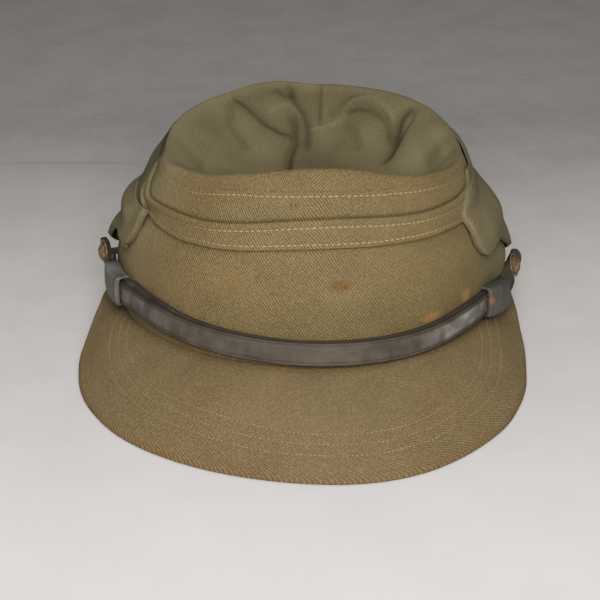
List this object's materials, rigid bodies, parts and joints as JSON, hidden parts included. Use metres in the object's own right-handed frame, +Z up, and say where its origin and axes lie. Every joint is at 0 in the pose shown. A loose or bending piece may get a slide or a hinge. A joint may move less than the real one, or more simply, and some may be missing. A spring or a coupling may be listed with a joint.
{
  "type": "kepi cap",
  "caption": "Soft twill field cap with a sunken crown top, stitched front band, turned-up neck curtain, domed visor and leather chin strap on brass buttons.",
  "frame": {"origin": "middle of the bottom of the box round the resting cap, on the surface it lies on", "axes": "+Z up, -Y towards the visor, +Y towards the back of the head, +X to the viewer's right when the visor faces the viewer"},
  "size_m": [0.1908, 0.2472, 0.0941],
  "materials": {
    "cloth": "fine olive-khaki twill, matte",
    "visor_cloth": "the same twill, browner at the edge",
    "strap_leather": "worn grey-brown leather",
    "slide_leather": "dark grey worn leather",
    "brass": "dull tarnished brass"
  },
  "bodies": {
    "root": {"crown_wall": "cloth", "crown_tip": "cloth", "front_band": "cloth", "neck_curtain": "cloth", "visor": "visor_cloth", "chin_strap_outer": "strap_leather", "chin_strap_inner": "strap_leather", "strap_slide_left": "slide_leather", "strap_slide_right": "slide_leather", "button_left": "brass", "button_right": "brass"}
  },
  "joints": []
}
